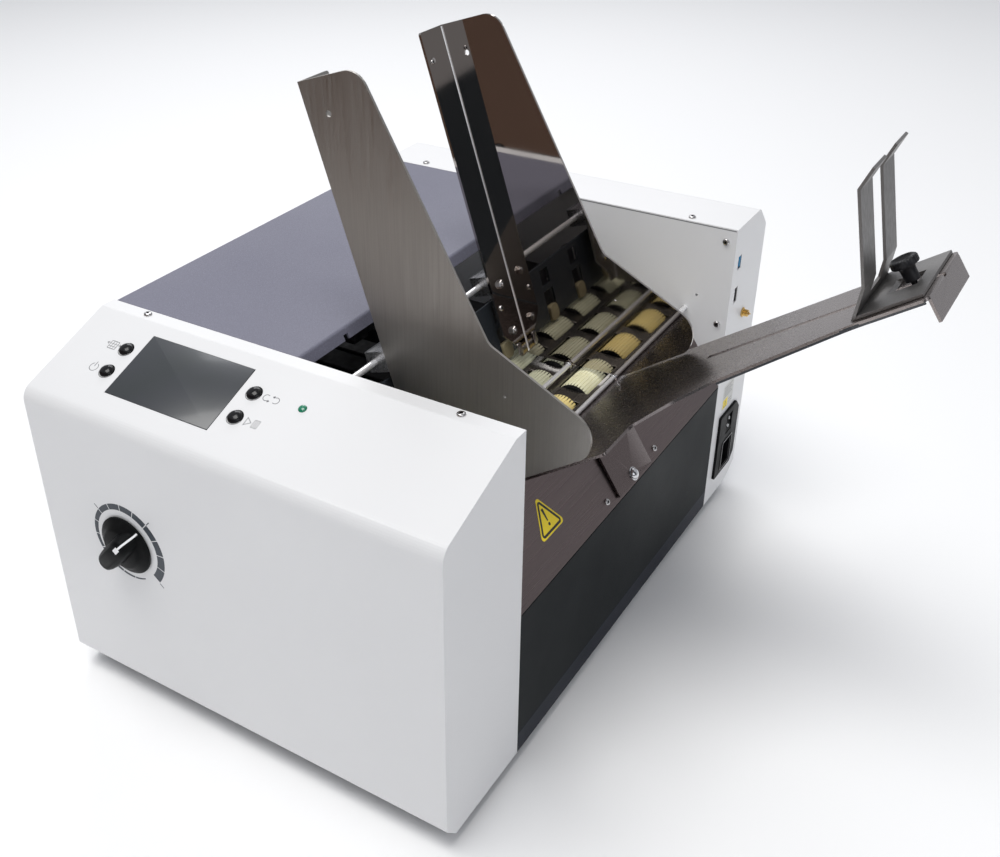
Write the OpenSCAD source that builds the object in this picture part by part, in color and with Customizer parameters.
// Envelope printer with a friction feeder, standing on four rubber feet.
// The paper path runs along X: mail is stacked at the +X end and leaves at the -X end.
// The operator stands at the -Y side. All modules draw in cabinet coordinates, where X = 0
// is the feed end of the cabinet, Y = 0 its front face and Z = 0 its underside. place()
// moves them so that the origin is the centre of the footprint, level with the feet.

/* [Cabinet] */
// Length of the cabinet along the paper path
cab_l = 360; // [350:5:380]
// Width of the cabinet from the front face to the rear face
cab_w = 541; // [535:1:560]
// Height of the cabinet above its underside
cab_h = 286; // [280:1:292]
// Depth of the front housing, from the front face to the paper throat
front_d = 98; // [94:1:102]
// Depth of the rear housing, from the paper throat to the rear face
rear_d = 76; // [72:1:84]
// Sheet thickness of the covers and panels
skin = 2; // [1.5:0.5:2.5]
// Thickness of the two structural side plates
plate_t = 3; // [3:1:4]
// Height of the base pan's end walls
base_h = 19; // [14:1:24]
// Height of the rubber feet
foot_h = 10; // [6:1:14]

/* [Control panel] */
// Slope of the control panel
panel_tilt = 20.8; // [15:0.1:25]
// Width of the touchscreen
screen_w = 96; // [80:1:100]
// Height of the touchscreen along the slope
screen_h = 57; // [48:1:60]
// Radius of a push button's dome
button_r = 5.6; // [4:0.1:6.5]
// Travel of a push button
button_travel = 1.2; // [0.6:0.1:1.4]
// Radius of the speed knob's skirt
knob_r = 24; // [18:1:26]
// Height of the speed knob's grip above the front face
knob_h = 18; // [12:1:20]

/* [Feeder] */
// Backward lean of the mail stack and its side guides
stack_tilt = 18; // [15:1:20]
// Radius of the ribbed feed wheels
wheel_r = 15.25; // [14:0.25:15.5]
// Width of one feed wheel
wheel_w = 36; // [24:1:38]
// Ribs around one feed wheel
wheel_ribs = 36; // [24:1:44]
// Feed wheels on one shaft
wheel_columns = 6; // [3:1:6]
// Distance between neighbouring feed wheels
wheel_pitch = 54; // [50:0.5:54]
// Height of the feed wheels' tops above the cabinet's underside
feed_z = 203; // [200:1:206]
// Outer face of the front side guide at rest
front_guide_y = 145; // [140:1:150]
// Inner face of the rear side guide at rest
rear_guide_y = 317; // [310:1:325]
// Thickness of the side guides' sheet
guide_t = 2; // [1.5:0.5:2.5]

/* [Support arm] */
// Slope of the support arm
arm_tilt = 35; // [32:1:37]
// Width of the support arm
arm_w = 81; // [70:1:90]
// Length of the support arm from the feed deck to its end lip
arm_l = 281; // [270:1:290]
// Depth of the bent-down lip at the arm's end
lip_d = 18; // [12:1:22]

/* [Hidden] */
$fn = 64;

// Clearance between pieces that move past each other, and the fit of turning shafts.
gap = 0.3;
fit = 0.05;
// Overshoot of a cut beyond the face it opens.
over = 1;

// Cabinet layout along Y.
throat_y0 = front_d;
throat_y1 = cab_w - rear_d;
throat_mid = (throat_y0 + throat_y1) / 2;

// Front housing profile: the slanted panel rises from the front face to a flat top strip.
panel_foot_y = 8;
panel_top_y = 85.7;
panel_foot_z = cab_h - (panel_top_y - panel_foot_y) * tan(panel_tilt);
panel_edge_z = panel_foot_z - panel_foot_y * tan(panel_tilt);
front_bend_r = 12;
front_chamfer_y = 11.6;
front_chamfer_z = 12.6;
rear_top_chamfer = 20;
rear_low_chamfer_y = 20.5;
rear_low_chamfer_z = 11.7;

// Control panel layout: X along the cabinet, then distance up the slope.
screen_pos = [-248, 42.9];
setup_pos = [-308.5, 53.7];
power_pos = [-308.5, 31.4];
repeat_pos = [-187.6, 53.7];
run_pos = [-187.6, 31.4];
led_pos = [-146.5, 54];
led_r = 3.2;
stem_r = 3;
knob_pos = [-275.5, 149];
knob_shaft_r = 3;
pointer_angle = 48;

// Feed shafts, rollers and the flat drive belt that turns them all.
shaft_r = 4;
shaft_z = feed_z - wheel_r;
shaft_pitch = 32;
shaft_x = [-62, -62 - shaft_pitch, -62 - 2 * shaft_pitch];
roller_x = [-168, -338];
belt_t = 1.5;
roller_r = feed_z - belt_t - gap - shaft_z;
bearing_r = 8;
pulley_r = 9;
pulley_y0 = throat_y1 + plate_t + 2;
pulley_w = 10;
shaft_y0 = throat_y0 - plate_t - 3;
shaft_y1 = pulley_y0 + pulley_w + 2;
motor_x = -250;
// Middle of the first feed wheel on each shaft: the second row is staggered by half a pitch.
wheel_y0 = [148, 121, 148];
deck_z = feed_z - 4;
transport_belt_y = [150, 220, 290, 360];
transport_belt_w = 22;

// Rods across the throat.
deck_rod_r = 2;
deck_rod_z = feed_z + 1.2;
deck_rod_x = [-79.5, -39.4];
rail_r = 2.5;
rail_uv = [-62.8, 300];

// Lean frame of the stack: u runs towards +X along the deck's normal lean, v runs up it.
function lean_xz(u, v) = [
    u * cos(stack_tilt) - v * sin(stack_tilt),
    u * sin(stack_tilt) + v * cos(stack_tilt)
];
rail_xz = lean_xz(rail_uv[0], rail_uv[1]);
guide_u = -48.5;
gate_u = -59;
gate_t = 2;
gate_v0 = 236;
gate_v1 = 286;

// Support arm: its top face passes just under the second deck rod.
arm_x = deck_rod_x[1];
arm_z = deck_rod_z - (deck_rod_r + 0.1) / cos(arm_tilt);
arm_t = 2;
arm_y = 286;
slot_w = 5.4;
slot_s0 = 105;
stop_s0 = 229;
stop_s1 = 277;
stop_w = 76;
clamp_s = 262;
apron_tilt = 56;
apron_z0 = 134;
apron_len = 70;
apron_screw_s = 8;
// Point on the arm's top face at distance s up the slope, raised by n along its normal.
function ramp_xz(s, n = 0) = [
    arm_x + s * cos(arm_tilt) - n * sin(arm_tilt),
    arm_z + s * sin(arm_tilt) + n * cos(arm_tilt)
];

// Overall reach, used to centre the footprint on the origin.
x_min = -cab_l;
x_max = ramp_xz(arm_l, 0)[0] + lip_d * sin(arm_tilt);
y_min = -knob_h;
y_max = cab_w;
mid_x = (x_min + x_max) / 2;
mid_y = (y_min + y_max) / 2;

// ---- Shared helpers ----

module place() translate([-mid_x, -mid_y, foot_h]) children();

// Extrudes an outline drawn in X and Z from y0 to y1.
module along_y(y0, y1) translate([0, y1, 0]) rotate([90, 0, 0]) linear_extrude(y1 - y0) children();

// Extrudes an outline drawn in Y and Z from x0 to x1.
module along_x(x0, x1) translate([x0, 0, 0]) rotate([90, 0, 90]) linear_extrude(x1 - x0) children();

module rod_y(x, z, r, y0, y1) translate([x, y0, z]) rotate([-90, 0, 0]) cylinder(r = r, h = y1 - y0);

module rod_x(y, z, r, x0, x1) translate([x0, y, z]) rotate([0, 90, 0]) cylinder(r = r, h = x1 - x0);

// Box from one corner to the opposite one.
module block(a, b) translate(a) cube(b - a);

// Frame of the leaning stack: local X is u and local Z is v.
module leaning() rotate([0, -stack_tilt, 0]) children();

// Frame on the arm's top face: local X runs up the slope and local Z is its normal.
module on_arm() translate([arm_x, 0, arm_z]) rotate([0, -arm_tilt, 0]) children();

// Frame on the control panel: local Y runs up the slope and local Z is its normal.
module on_panel() translate([0, panel_foot_y, panel_foot_z]) rotate([panel_tilt, 0, 0]) children();

function unit(v) = v / norm(v);
function turn(a) = a > 180 ? a - 360 : a < -180 ? a + 360 : a;

// Arc of radius r that rounds the corner at b between a and c.
function corner(a, b, c, r, n) =
    let (
        p = unit(a - b),
        q = unit(c - b),
        half = acos(p * q) / 2,
        m = b + unit(p + q) * r / sin(half),
        s = b + p * r / tan(half) - m,
        e = b + q * r / tan(half) - m,
        a0 = atan2(s[1], s[0]),
        da = turn(atan2(e[1], e[0]) - a0)
    )
    [for (i = [0 : n]) m + r * [cos(a0 + da * i / n), sin(a0 + da * i / n)]];

// Outline from points [x, y, corner radius].
function rounded(pts, n = 8) =
    let (k = len(pts), xy = [for (p = pts) [p[0], p[1]]])
    [for (i = [0 : k - 1])
        each (len(pts[i]) < 3 || pts[i][2] == 0
            ? [xy[i]]
            : corner(xy[(i + k - 1) % k], xy[i], xy[(i + 1) % k], pts[i][2], n))];

// Strip of thickness t on the left of an open path, as a closed outline.
function side(a, b) = let (d = unit(b - a)) [-d[1], d[0]];
function shifted(path, i, t) =
    let (
        k = len(path),
        p = i > 0 ? side(path[i - 1], path[i]) : side(path[0], path[1]),
        q = i < k - 1 ? side(path[i], path[i + 1]) : p
    )
    path[i] + (p + q) * t / (1 + p * q);
function strip(path, t) = concat(path, [for (i = [len(path) - 1 : -1 : 0]) shifted(path, i, t)]);

module pan_screw(r) {
    cylinder(r = r, h = 1.2);
    translate([0, 0, 1.2]) cylinder(r1 = r, r2 = r * 0.7, h = 0.8);
}

// ---- Cabinet ----

module base_pan() color([0.10, 0.11, 0.16]) place() difference() {
    union() {
        block([-cab_l + skin, front_chamfer_y + skin, 0], [-skin, cab_w - rear_low_chamfer_y - skin, skin]);
        block([-skin, throat_y0, 0], [0, throat_y1, base_h]);
        block([-cab_l, throat_y0, 0], [-cab_l + skin, throat_y1, base_h]);
    }
    for (i = [0 : 9])
        block([-120 - 12 * i, 190, -over], [-116 - 12 * i, 370, skin + over]);
}

module rubber_feet() color([0.08, 0.08, 0.08]) place()
    for (x = [-cab_l + 42, -42], y = [50, cab_w - 60])
        translate([x, y, -foot_h]) {
            cylinder(r1 = 11, r2 = 13, h = foot_h);
        }

bar_xz = [[-340, 40], [-20, 40], [-200, 145]];
bar_w = 10;
module tie_bars() color([0.62, 0.63, 0.65]) place()
    for (p = bar_xz)
        translate([p[0] - bar_w / 2, throat_y0, p[1] - bar_w / 2])
            cube([bar_w, throat_y1 - throat_y0, bar_w]);

hinge_xz = [-350, cab_h - 9];
hinge_r = 3;
print_rail_x = [-278, -232];
print_rail_z = 252;
print_rail_r = 4;

// Holes that both side plates share: bearings, rods and hinge pins.
module plate_holes(y0, y1) {
    for (x = concat(shaft_x, roller_x))
        rod_y(x, shaft_z, bearing_r, y0, y1);
    for (x = deck_rod_x)
        rod_y(x, deck_rod_z, deck_rod_r, y0, y1);
    rod_y(rail_xz[0], rail_xz[1], rail_r, y0, y1);
    for (x = print_rail_x)
        rod_y(x, print_rail_z, print_rail_r, y0, y1);
    rod_y(hinge_xz[0], hinge_xz[1], hinge_r, y0, y1);
}

module side_plate(y0) difference() {
    block([-cab_l + skin, y0, skin], [-skin, y0 + plate_t, cab_h - skin]);
    plate_holes(y0 - over, y0 + plate_t + over);
}

module front_side_plate() color([0.86, 0.86, 0.87]) place() side_plate(throat_y0 - plate_t);

inner_screw = [[-9.1, 273.5], [-8.6, 195.3]];
module rear_side_plate() color([0.86, 0.86, 0.87]) place() difference() {
    side_plate(throat_y1);
    rod_y(-30.1, 218.6, 1.2, throat_y1 - over, throat_y1 + plate_t + over);
}

// Closed cross-section of the front housing, as [y, z, corner radius].
front_profile = [
    [front_chamfer_y, 0, 0], [0, front_chamfer_z, 4], [0, panel_edge_z, front_bend_r],
    [panel_top_y, cab_h, 5], [front_d, cab_h, 0], [front_d, 0, 0]
];
// Height lost through the slanted panel's thickness.
panel_drop = skin / cos(panel_tilt);
front_hollow = [
    [front_chamfer_y + skin, -over, 0], [front_chamfer_y + skin, skin, 0],
    [skin, front_chamfer_z + skin, 2],
    [skin, panel_edge_z + skin * tan(panel_tilt) - panel_drop, front_bend_r - skin],
    [(cab_h - skin - panel_edge_z + panel_drop) / tan(panel_tilt), cab_h - skin, 3],
    [front_d + over, cab_h - skin, 0],
    [front_d + over, -over, 0]
];
strip_screw_x = [-318.5, -44.1];
module front_cover() color([0.93, 0.93, 0.94]) place() difference() {
    along_x(-cab_l, 0) polygon(rounded(front_profile));
    along_x(-cab_l + skin, -skin) polygon(rounded(front_hollow));
    on_panel() {
        translate([screen_pos[0], screen_pos[1], 0])
            cube([screen_w + 0.6, screen_h + 0.6, 12], center = true);
        for (p = [setup_pos, power_pos, repeat_pos, run_pos])
            translate([p[0], p[1], -6]) cylinder(r = button_r + gap, h = 12);
        translate([led_pos[0], led_pos[1], -6]) cylinder(r = led_r, h = 12);
    }
    rod_y(knob_pos[0], knob_pos[1], knob_shaft_r + 1, -over, skin + over);
}

// Closed cross-section of the rear housing, as [y, z, corner radius].
rear_profile = [
    [throat_y1, 0, 0], [cab_w - rear_low_chamfer_y, 0, 3], [cab_w, rear_low_chamfer_z, 3],
    [cab_w, cab_h - rear_top_chamfer, 7], [cab_w - rear_top_chamfer, cab_h, 7],
    [throat_y1, cab_h, 0]
];
rear_hollow = [
    [throat_y1 - over, -over, 0], [cab_w - rear_low_chamfer_y - skin, -over, 0],
    [cab_w - rear_low_chamfer_y - skin, skin, 0], [cab_w - skin, rear_low_chamfer_z + skin, 2],
    [cab_w - skin, cab_h - rear_top_chamfer - 0.8, 5],
    [cab_w - rear_top_chamfer - 0.8, cab_h - skin, 5], [throat_y1 - over, cab_h - skin, 0]
];
inlet_y = [481, 525];
inlet_z = [25, 90];
usb_y = [476, 484];
usb_z = [244.5, 257.5];
video_y = [476.5, 484];
video_z = [212, 227.5];
antenna_yz = [505.5, 192];
module rear_cover() color([0.93, 0.93, 0.94]) place() difference() {
    along_x(-cab_l, 0) polygon(rounded(rear_profile));
    along_x(-cab_l + skin, -skin) polygon(rounded(rear_hollow));
    block([-skin - over, inlet_y[0], inlet_z[0]], [over, inlet_y[1], inlet_z[1]]);
    block([-skin - over, usb_y[0], usb_z[0]], [over, usb_y[1], usb_z[1]]);
    block([-skin - over, video_y[0], video_z[0]], [over, video_y[1], video_z[1]]);
    rod_x(antenna_yz[0], antenna_yz[1], 3.3, -skin - over, over);
    for (i = [0 : 11])
        block([-300 + 12 * i, cab_w - skin - over, 60], [-296 + 12 * i, cab_w + over, 130]);
}

module infeed_panel() color([0.20, 0.23, 0.24]) place()
    block([-skin, throat_y0, base_h], [0, throat_y1, apron_z0 - skin * cos(apron_tilt)]);

// Point in X and Z at distance s up the apron, raised by n along its normal.
function on_apron(s, n) = [
    -s * cos(apron_tilt) + n * sin(apron_tilt),
    apron_z0 + s * sin(apron_tilt) + n * cos(apron_tilt)
];
// Frame on the apron: local Z runs up the slope and local X is its normal.
module apron_frame() translate([0, arm_y, apron_z0]) rotate([0, apron_tilt - 90, 0]) children();
module apron_screw_hole()
    apron_frame() translate([-5, 0, apron_screw_s]) rotate([0, 90, 0]) cylinder(r = 2.1, h = 12);

// Sloping plate between the dark feed-end panel and the feed deck.
module infeed_apron() color([0.42, 0.36, 0.36]) place() difference() {
    along_y(throat_y0, throat_y1) polygon(strip([on_apron(apron_len, 0), on_apron(0, 0)], -skin));
    apron_screw_hole();
}

module outfeed_panel() color([0.20, 0.23, 0.24]) place()
    block([-cab_l, throat_y0, base_h], [-cab_l + skin, throat_y1, 168]);

module cover_screws() color([0.75, 0.75, 0.77]) place() {
    for (x = strip_screw_x)
        translate([x, 92.3, cab_h]) pan_screw(3.2);
    for (x = strip_screw_x)
        translate([x, 472.4, cab_h]) pan_screw(3.2);
    for (p = inner_screw)
        translate([p[0], throat_y1, p[1]]) rotate([90, 0, 0]) pan_screw(3);
    for (dy = [-44.5, 44.5])
        apron_frame() translate([0, dy, apron_screw_s]) rotate([0, 90, 0]) pan_screw(2.8);
}

// ---- Control panel ----

module touchscreen() color([0.03, 0.03, 0.05]) place() on_panel()
    translate([screen_pos[0], screen_pos[1], -4]) {
        translate([0, 0, 2]) cube([screen_w, screen_h, 4], center = true);
        translate([0, 0, -2]) cube([screen_w + 8, screen_h - 1, 8], center = true);
    }

// Domed push button: a spherical cap over a short barrel and a stem, seated in the panel.
dome_h = 2.8;
dome_r = (button_r * button_r + dome_h * dome_h) / (2 * dome_h);
module push_button(p) place() on_panel() translate([p[0], p[1], 0])
    rotate_extrude() polygon(concat(
        [[0, -9], [stem_r, -9], [stem_r, -3], [button_r, -3], [button_r, 0.4]],
        [for (i = [1 : 8])
            let (a = asin(button_r / dome_r) * (1 - i / 8))
            [dome_r * sin(a), 0.4 + dome_h - dome_r * (1 - cos(a))]]
    ));
module setup_button() color([0.05, 0.05, 0.05]) push_button(setup_pos);
module power_button() color([0.05, 0.05, 0.05]) push_button(power_pos);
module repeat_button() color([0.05, 0.05, 0.05]) push_button(repeat_pos);
module run_button() color([0.05, 0.05, 0.05]) push_button(run_pos);

// Circuit board behind the panel, with one switch body under each button.
board_n = -16;
module panel_board() color([0.08, 0.30, 0.16]) place() on_panel() {
    translate([-322, 22, board_n]) cube([190, 42, 1.6]);
    for (p = [setup_pos, power_pos, repeat_pos, run_pos])
        translate([p[0] - 4, p[1] - 4, board_n + 1.6]) cube([8, 8, 3.8]);
    for (x = [-318.5, -136], s = [26, 60])
        translate([x, s, board_n]) cylinder(r = 2, h = -skin - board_n);
}

module status_led() color([0.05, 0.45, 0.25]) place() on_panel()
    translate([led_pos[0], led_pos[1], board_n + 1.6]) {
        cylinder(r = 1.2, h = 10);
        translate([0, 0, 8.4]) cylinder(r = led_r, h = 6);
        translate([0, 0, 14.4]) rotate_extrude() polygon(concat([[0, 0]],
            [for (i = [0 : 6]) [led_r * cos(15 * i), 1.6 * sin(15 * i)]]));
    }

// Skirted pointer knob with a raised finger bar, turning about the Y axis.
module speed_knob() color([0.04, 0.04, 0.05]) place()
    translate([knob_pos[0], 0, knob_pos[1]]) rotate([90, 0, 0]) {
        translate([0, 0, 0.6]) cylinder(r1 = knob_r, r2 = knob_r - 0.8, h = 2.4);
        translate([0, 0, 3]) cylinder(r1 = knob_r - 4, r2 = knob_r - 7, h = 3);
        rotate([0, 0, pointer_angle]) translate([0, 0, (knob_h + 5) / 2])
            cube([2 * (knob_r - 4), 9, knob_h - 5], center = true);
        translate([0, 0, -20]) cylinder(r = knob_shaft_r, h = 21);
    }

module speed_potentiometer() color([0.55, 0.56, 0.58]) place() difference() {
    union() {
        rod_y(knob_pos[0], knob_pos[1], 12, skin, 14);
        rod_y(knob_pos[0], knob_pos[1], 8, 14, 24);
    }
    rod_y(knob_pos[0], knob_pos[1], knob_shaft_r + fit, 0, 21);
}

// ---- Lid over the printing section ----

lid_x1 = -181;
module lid() color([0.60, 0.60, 0.67]) place() difference() {
    union() {
        along_y(throat_y0 + gap, throat_y1 - gap)
            polygon(strip(rounded([
                [-cab_l + 1, cab_h - 26, 0], [-cab_l + 1, cab_h, 3],
                [lid_x1, cab_h, 3], [lid_x1 + 4, cab_h - 9, 0]
            ], 4), -skin));
        for (y = [throat_y0 + 4, throat_y1 - 7])
            block([hinge_xz[0] - 6, y, hinge_xz[1] - 6], [hinge_xz[0] + 6, y + 3, cab_h - skin]);
    }
    rod_y(hinge_xz[0], hinge_xz[1], hinge_r + fit, throat_y0, throat_y1);
    block([lid_x1 - 1, 148, cab_h - 12], [lid_x1 + 10, 153, cab_h - 5]);
}

module lid_hinge_pins() color([0.75, 0.75, 0.77]) place() {
    rod_y(hinge_xz[0], hinge_xz[1], hinge_r, throat_y0 - plate_t, throat_y0 + 9);
    rod_y(hinge_xz[0], hinge_xz[1], hinge_r, throat_y1 - 9, throat_y1 + plate_t);
}

// ---- Side guides ----

module guide_rail() color([0.82, 0.82, 0.84]) place()
    rod_y(rail_xz[0], rail_xz[1], rail_r, throat_y0 - plate_t, throat_y1 + plate_t);

module deck_rods() color([0.82, 0.82, 0.84]) place()
    for (x = deck_rod_x)
        rod_y(x, deck_rod_z, deck_rod_r, throat_y0 - plate_t, throat_y1 + plate_t);

// Outline of a side guide in X and Z, from the leaning top to the nose over the arm.
guide_low_z = deck_rod_z + 0.5;
guide_lift = 1.2;
flange_v0 = 233;
function on_uv(u, v, r) = concat(lean_xz(u, v), [r]);
function on_slope(x, r) = [x, arm_z + (x - arm_x) * tan(arm_tilt) + guide_lift, r];
guide_outline = [
    on_uv(guide_u, 502.5, 0), on_uv(3, 502.5, 15), on_uv(42.6, 311, 12),
    on_uv(108, 246, 20), on_slope(20, 14), on_slope(-33, 8), [-116, guide_low_z, 0],
    on_uv(guide_u, flange_v0, 0)
];
// Outline of the stop flange: distance from the fold, then height, with corner radii.
flange_w = 31;
flange_outline = [
    [0, flange_v0, 0], [14, flange_v0, 2], [14, 242, 3], [flange_w, 259, 4],
    [flange_w, 502.5, 2], [0, 502.5, 0]
];
// One side guide: a plate in X and Z with a stop flange that turns into the stack.
module guide(y, dir) difference() {
    union() {
        along_y(y, y + guide_t) polygon(rounded(guide_outline));
        leaning() translate([guide_u, dir > 0 ? y : y + guide_t, 0]) mirror([0, dir > 0 ? 0 : 1, 0])
            along_x(0, guide_t) polygon(rounded(flange_outline));
        rod_y(deck_rod_x[0], deck_rod_z, 4.2, y - 1, y + guide_t + 1);
    }
    rod_y(deck_rod_x[0], deck_rod_z, deck_rod_r + fit, y - 5, y + 9);
    rod_y(deck_rod_x[1], deck_rod_z, deck_rod_r + gap, y - 5, y + 9);
    leaning() rod_y(-30.7, 478.5, 2.2, y - 5, y + 9);
    leaning() rod_y(43.9, 272.4, 1, y - 5, y + 9);
}

// Block that carries a guide on the rail, behind the guide's stop flange.
clamp_w = 20;
module guide_clamp(y) leaning() difference() {
    block([rail_uv[0] - 7, y, rail_uv[1] - 8], [guide_u, y + clamp_w, rail_uv[1] + 8]);
    rod_y(rail_uv[0], rail_uv[1], rail_r + fit, y - over, y + clamp_w + over);
    translate([lock_u, y + clamp_w / 2, lock_v1 - 1]) cylinder(r = lock_stud_r + fit, h = 8);
}

// Lock screw that hangs below a clamp block, between the stop flange and the gate.
lock_u = guide_u - 4.4;
lock_v1 = rail_uv[1] - 8;
lock_stud_r = 1.5;
module guide_lock(y) leaning() translate([lock_u, y + clamp_w / 2, lock_v1]) {
    translate([0, 0, -22]) cylinder(r = 3.1, h = 22 - gap);
    translate([0, 0, -22]) cylinder(r = 3.6, h = 3);
    translate([0, 0, -1]) cylinder(r = lock_stud_r, h = 6);
}

front_clamp_y = front_guide_y + guide_t + 2;
rear_clamp_y = rear_guide_y - clamp_w - 2;
module front_guide() color([0.55, 0.54, 0.51]) place() guide(front_guide_y, 1);
module front_guide_clamp() color([0.80, 0.80, 0.82]) place() guide_clamp(front_clamp_y);
module front_guide_lock() color([0.60, 0.61, 0.62]) place() guide_lock(front_clamp_y);
module rear_guide() color([0.70, 0.68, 0.64]) place() guide(rear_guide_y, -1);
module rear_guide_clamp() color([0.80, 0.80, 0.82]) place() guide_clamp(rear_clamp_y);
module rear_guide_lock() color([0.60, 0.61, 0.62]) place() guide_lock(rear_clamp_y);

// ---- Gate and separators ----

finger_count = 6;
function finger_y(i) = 145 + 52.5 * i;

module gate_plate() color([0.07, 0.08, 0.09]) place() leaning() difference() {
    block([gate_u, throat_y0, gate_v0], [gate_u + gate_t, throat_y1, gate_v1]);
    for (i = [0 : finger_count - 1]) {
        y = finger_y(i);
        block([gate_u - over, y - 8, gate_v0 - over], [gate_u + gate_t + over, y + 8, 262]);
        block([gate_u - over, y - 7, 267], [gate_u + gate_t + over, y + 7, 281]);
    }
}

// Spring-loaded fingers that hold back all but the lowest envelope.
finger_w = 13;
finger_v0 = gate_v0 - 1.8;
module separator_fingers() color([0.86, 0.80, 0.55]) place() leaning()
    for (i = [0 : finger_count - 1]) {
        y = finger_y(i) - finger_w / 2;
        block([gate_u - 5, y, finger_v0], [gate_u - gap, y + finger_w, 285]);
        block([gate_u - 2, y, finger_v0], [guide_u - 1.5, y + finger_w, 248]);
    }

// ---- Feed deck, wheels and drive ----

module feed_deck() color([0.13, 0.13, 0.14]) place() difference() {
    union() {
        block([-150, throat_y0, deck_z - 2], [-46, throat_y1, deck_z]);
        block([-150, throat_y0, deck_z - 14], [-148, throat_y1, deck_z - 2]);
    }
    for (row = [0 : 2], i = [0 : wheel_columns - 1])
        translate([shaft_x[row], wheel_y0[row] + wheel_pitch * i, deck_z - 1])
            cube([26.5, wheel_w + 3, 4], center = true);
}

module pulley_shaft(x) {
    rod_y(x, shaft_z, shaft_r, shaft_y0, shaft_y1);
    rod_y(x, shaft_z, pulley_r, pulley_y0, pulley_y0 + pulley_w);
}

// Cross-section of a feed wheel: shallow ribs around a round tread, with a shaft bore.
rib_depth = 1.1;
module ribbed_wheel() difference() {
    polygon([for (i = [0 : wheel_ribs - 1], k = [0 : 3])
        let (a = 360 / wheel_ribs * (i + [0, 0.62, 0.68, 0.94][k]))
        (k < 2 ? wheel_r : wheel_r - rib_depth) * [cos(a), sin(a)]]);
    circle(r = shaft_r);
}

module feed_wheel_set(row)
    for (i = [0 : wheel_columns - 1])
        translate([shaft_x[row], wheel_y0[row] + wheel_pitch * i + wheel_w / 2, shaft_z])
            rotate([90, 0, 0]) linear_extrude(wheel_w) ribbed_wheel();

module feed_shaft_1() color([0.75, 0.75, 0.77]) place() pulley_shaft(shaft_x[0]);
module feed_shaft_2() color([0.75, 0.75, 0.77]) place() pulley_shaft(shaft_x[1]);
module feed_shaft_3() color([0.75, 0.75, 0.77]) place() pulley_shaft(shaft_x[2]);
module feed_wheels_1() color([0.88, 0.83, 0.58]) place() feed_wheel_set(0);
module feed_wheels_2() color([0.85, 0.82, 0.66]) place() feed_wheel_set(1);
module feed_wheels_3() color([0.85, 0.82, 0.66]) place() feed_wheel_set(2);

// Flanged ball bearings, two to a shaft, seated in the side plates.
module shaft_bearings() color([0.70, 0.71, 0.73]) place()
    for (x = concat(shaft_x, roller_x))
        for (side = [[throat_y0 - plate_t, throat_y0 - plate_t - 1], [throat_y1, throat_y1 + plate_t]])
            difference() {
                union() {
                    rod_y(x, shaft_z, bearing_r, side[0], side[0] + plate_t);
                    rod_y(x, shaft_z, bearing_r + 1, side[1], side[1] + 1);
                }
                rod_y(x, shaft_z, shaft_r + fit, side[0] - 3, side[0] + plate_t + 3);
            }

module roller(x) {
    pulley_shaft(x);
    rod_y(x, shaft_z, roller_r, throat_y0 + 12, throat_y1 - 12);
}
module transport_roller() color([0.25, 0.25, 0.26]) place() roller(roller_x[0]);
module exit_roller() color([0.25, 0.25, 0.26]) place() roller(roller_x[1]);

// Belt around two equal rollers, centred between x0 and x1.
module belt_loop(x0, x1, r, t, y0, y1) difference() {
    along_y(y0, y1) belt_outline(x0, x1, r + t);
    along_y(y0 - over, y1 + over) belt_outline(x0, x1, r);
}
module belt_outline(x0, x1, r) {
    translate([x0, shaft_z]) circle(r = r);
    translate([x1, shaft_z]) circle(r = r);
    translate([x1, shaft_z - r]) square([x0 - x1, 2 * r]);
}
module transport_belts() color([0.10, 0.10, 0.10]) place()
    for (y = transport_belt_y)
        belt_loop(roller_x[0], roller_x[1], roller_r + gap, belt_t, y, y + transport_belt_w);
module drive_belt() color([0.09, 0.09, 0.09]) place()
    belt_loop(shaft_x[0], roller_x[1], pulley_r + gap, belt_t, pulley_y0 + 1, pulley_y0 + pulley_w - 1);

// Motor in the rear housing, on four standoffs; its pulley sits inside the drive belt.
motor_w = 42;
motor_d = 44;
motor_y0 = pulley_y0 + pulley_w + 4;
module drive_motor() color([0.20, 0.20, 0.22]) place() difference() {
    union() {
        translate([motor_x, motor_y0 + motor_d / 2, shaft_z])
            cube([motor_w, motor_d, motor_w], center = true);
        for (dx = [-16, 16], dz = [-16, 16])
            rod_y(motor_x + dx, shaft_z + dz, 3, throat_y1 + plate_t, motor_y0);
    }
    rod_y(motor_x, shaft_z, shaft_r - 1.5 + fit, motor_y0 - over, motor_y0 + 12);
}
module motor_pulley() color([0.75, 0.75, 0.77]) place() {
    rod_y(motor_x, shaft_z, pulley_r, pulley_y0, pulley_y0 + pulley_w);
    rod_y(motor_x, shaft_z, shaft_r - 1.5, pulley_y0 + pulley_w, motor_y0 + 11);
}

// ---- Printing section ----

module print_rails() color([0.82, 0.82, 0.84]) place()
    for (x = print_rail_x)
        rod_y(x, print_rail_z, print_rail_r, throat_y0 - plate_t, throat_y1 + plate_t);

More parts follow.
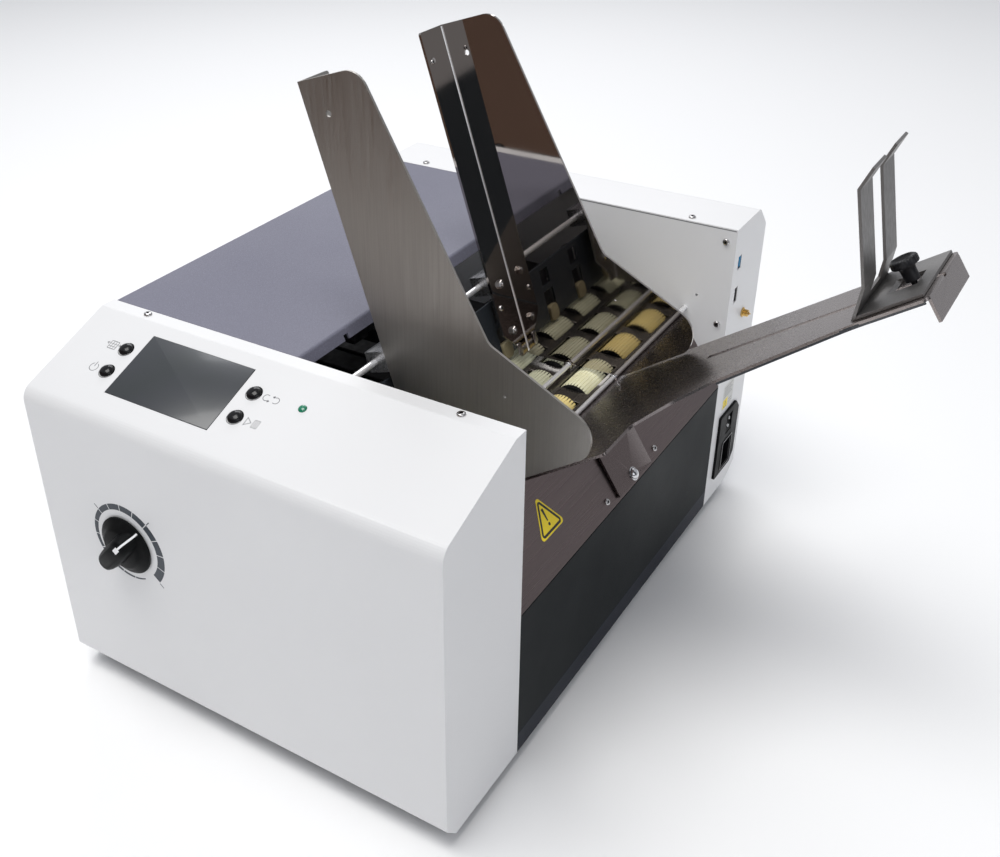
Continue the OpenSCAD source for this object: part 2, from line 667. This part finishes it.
carriage_y = [236, 300];
pocket_x = [-267, -243];
module print_carriage() color([0.16, 0.16, 0.17]) place() difference() {
    block([-290, carriage_y[0], 236], [-220, carriage_y[1], 268]);
    block([pocket_x[0], carriage_y[0] + 8, 235], [pocket_x[1], carriage_y[1] - 8, 269]);
    for (x = print_rail_x)
        rod_y(x, print_rail_z, print_rail_r + fit, carriage_y[0] - over, carriage_y[1] + over);
}
module ink_cartridge() color([0.09, 0.10, 0.12]) place() {
    block([pocket_x[0] + 0.2, carriage_y[0] + 8.2, 214], [pocket_x[1] - 0.2, carriage_y[1] - 8.2, 276]);
    block([pocket_x[0] + 5, carriage_y[0] + 14, 207], [pocket_x[1] - 5, carriage_y[1] - 30, 214]);
}

// ---- Support arm and backstop ----

arm_y0 = arm_y - arm_w / 2;
arm_y1 = arm_y + arm_w / 2;
ramp_y0 = 148;
// Plan of the ramp and arm: distance up the slope, then Y, with corner radii.
arm_plan = [
    [-4, ramp_y0, 0], [86, ramp_y0, 3], [86, 188, 12], [110, 211, 30], [135, 225, 40],
    [230, arm_y0, 60], [arm_l, arm_y0, 4], [arm_l, arm_y1, 4], [-4, arm_y1, 0]
];
tab_w = 59;
module support_arm() color([0.45, 0.43, 0.42]) place() {
    on_arm() {
        difference() {
            translate([0, 0, -arm_t]) linear_extrude(arm_t) polygon(rounded(arm_plan, 6));
            block([slot_s0, arm_y - slot_w / 2, -arm_t - over], [arm_l + over, arm_y + slot_w / 2, over]);
        }
        block([arm_l - arm_t, arm_y0 + 3, -lip_d], [arm_l, arm_y1 - 3, -arm_t]);
    }
    // Tab that hooks down over the sloping apron and is screwed to it.
    difference() {
        along_y(arm_y - tab_w / 2, arm_y + tab_w / 2) polygon(strip([
            ramp_xz(-3, -arm_t), ramp_xz(-5, -5), on_apron(58, 1.5), on_apron(3, 0.3)
        ], arm_t));
        apron_screw_hole();
    }
}

module arm_screw() color([0.80, 0.80, 0.82]) place()
    apron_frame() translate([2.5, 0, apron_screw_s]) rotate([0, 90, 0]) {
        translate([0, 0, -6]) cylinder(r = 2, h = 7);
        rotate_extrude() polygon(concat([[0, 0]],
            [for (i = [0 : 8]) [4.6 * cos(11.25 * i), 3.4 * sin(11.25 * i)]]));
    }

// Forked backstop: a foot on the arm, folded up into two prongs with bent-back tips.
stop_y0 = arm_y - stop_w / 2 + 2.5;
stop_y1 = stop_y0 + stop_w;
prong_w = 26;
stop_t = 2;
fold = ramp_xz(stop_s0, gap);
module backstop() color([0.50, 0.49, 0.48]) place() {
    difference() {
        along_y(stop_y0, stop_y1) polygon(strip([
            [fold[0] - 4, fold[1] + 101], [fold[0] - 10.5, fold[1] + 86],
            [fold[0] + 2.6, fold[1] + 24], fold, ramp_xz(stop_s1, gap)
        ], 2));
        translate([fold[0] - 30, stop_y0 + prong_w, fold[1] + 12]) cube([60, stop_w - 2 * prong_w, 110]);
        on_arm() translate([clamp_s, arm_y, -2]) cylinder(r = 2.3, h = 10);
    }
}

// Thumb knob whose stud passes through the backstop and the arm's slot.
module backstop_knob() color([0.05, 0.05, 0.05]) place() on_arm() translate([clamp_s, arm_y, 0]) {
    translate([0, 0, -9.5]) cylinder(r = 2, h = 13.5);
    translate([0, 0, gap + stop_t + 0.3]) cylinder(r = 5, h = 11);
    translate([0, 0, gap + stop_t + 11.2]) cylinder(r1 = 8.5, r2 = 9.2, h = 4);
    translate([0, 0, gap + stop_t + 15.2]) cylinder(r1 = 9.2, r2 = 6.5, h = 2.2);
    translate([0, 0, -9.5]) cylinder(r = 4, h = 3);
}

// ---- Rear housing ----

inlet_mid_y = (inlet_y[0] + inlet_y[1]) / 2;
socket_y = [inlet_mid_y - 8.5, inlet_mid_y + 8.5];
socket_z = [30, 56];
rocker_z = [66, 86];
rocker_y = [inlet_mid_y - 7, inlet_mid_y + 7];
module power_inlet() color([0.06, 0.06, 0.06]) place() {
    difference() {
        union() {
            along_x(0, 2.5) polygon(rounded([
                [inlet_y[0] - 2, inlet_z[0] - 2, 1], [inlet_y[1] - 6, inlet_z[0] - 2, 1],
                [inlet_y[1] + 2, inlet_z[0] + 7, 1], [inlet_y[1] + 2, inlet_z[1] - 7, 1],
                [inlet_y[1] - 6, inlet_z[1] + 2, 1], [inlet_y[0] - 2, inlet_z[1] + 2, 1]
            ], 3));
            block([-26, inlet_y[0] + 0.2, inlet_z[0] + 0.2], [0, inlet_y[1] - 0.2, inlet_z[1] - 0.2]);
        }
        block([-16, socket_y[0], socket_z[0]], [5, socket_y[1], socket_z[1]]);
        block([-12, rocker_y[0], rocker_z[0]], [5, rocker_y[1], rocker_z[1]]);
    }
    for (p = [[0, 48], [-4.5, 38], [4.5, 38]])
        block([-17, inlet_mid_y + p[0] - 1, p[1] - 2.5], [-2, inlet_mid_y + p[0] + 1, p[1] + 2.5]);
}

rocker_mid_z = (rocker_z[0] + rocker_z[1]) / 2;
module rocker_switch() color([0.05, 0.05, 0.05]) place()
    along_y(rocker_y[0] + gap, rocker_y[1] - gap)
        translate([-4, rocker_mid_z]) rotate(8) polygon([
            [-4, -7], [3, -9], [5.4, -9], [4, 0], [5.4, 9], [3, 9], [-4, 7]
        ]);

// Controller board on four posts, carrying the ports that open through the cover.
board_y = usb_y[1] - 0.2;
module main_board() color([0.08, 0.30, 0.16]) place() {
    block([-150, board_y, 150], [-6, board_y + 1.6, 264]);
    for (chip = [[-120, 180, 24], [-80, 215, 18]])
        block([chip[0], board_y + 1.6, chip[1]], [chip[0] + chip[2], board_y + 4.6, chip[1] + chip[2]]);
    for (x = [-145, -30], z = [156, 260])
        rod_y(x, z, 2.5, throat_y1 + plate_t, board_y);
}

module usb_port() color([0.70, 0.71, 0.73]) place() {
    difference() {
        block([-16, usb_y[0] + 0.2, usb_z[0] + 0.2], [-0.3, usb_y[1] - 0.2, usb_z[1] - 0.2]);
        block([-14, usb_y[0] + 0.7, usb_z[0] + 0.7], [over, usb_y[1] - 0.7, usb_z[1] - 0.7]);
    }
    block([-14.5, usb_y[1] - 2.4, usb_z[0] + 1.5], [-2, usb_y[1] - 1.2, usb_z[1] - 1.5]);
}

module video_port() color([0.08, 0.08, 0.09]) place() difference() {
    block([-14, video_y[0] + 0.2, video_z[0] + 0.2], [-0.3, video_y[1] - 0.2, video_z[1] - 0.2]);
    block([-11, video_y[0] + 1, video_z[0] + 1], [over, video_y[1] - 1, video_z[1] - 1]);
}

module antenna_connector() color([0.80, 0.62, 0.25]) place() {
    rod_x(antenna_yz[0], antenna_yz[1], 3.3, -8, 6);
    translate([0, antenna_yz[0], antenna_yz[1]]) rotate([0, 90, 0]) {
        cylinder(r = 4.6, h = 1.8, $fn = 6);
    }
    rod_x(antenna_yz[0], antenna_yz[1], 1.4, 6, 8);
}

module power_supply() color([0.66, 0.67, 0.69]) place()
    block([-330, throat_y1 + plate_t + 2, skin], [-170, cab_w - rear_low_chamfer_y - skin - 2, 92]);

base_pan();
rubber_feet();
tie_bars();
front_side_plate();
rear_side_plate();
front_cover();
rear_cover();
infeed_panel();
infeed_apron();
outfeed_panel();
cover_screws();
touchscreen();
setup_button();
power_button();
repeat_button();
run_button();
panel_board();
status_led();
speed_knob();
speed_potentiometer();
lid();
lid_hinge_pins();
guide_rail();
deck_rods();
front_guide();
front_guide_clamp();
front_guide_lock();
rear_guide();
rear_guide_clamp();
rear_guide_lock();
gate_plate();
separator_fingers();
feed_deck();
feed_shaft_1();
feed_shaft_2();
feed_shaft_3();
feed_wheels_1();
feed_wheels_2();
feed_wheels_3();
shaft_bearings();
drive_motor();
motor_pulley();
drive_belt();
transport_roller();
exit_roller();
transport_belts();
print_rails();
print_carriage();
ink_cartridge();
support_arm();
arm_screw();
backstop();
backstop_knob();
power_inlet();
rocker_switch();
main_board();
usb_port();
video_port();
antenna_connector();
power_supply();
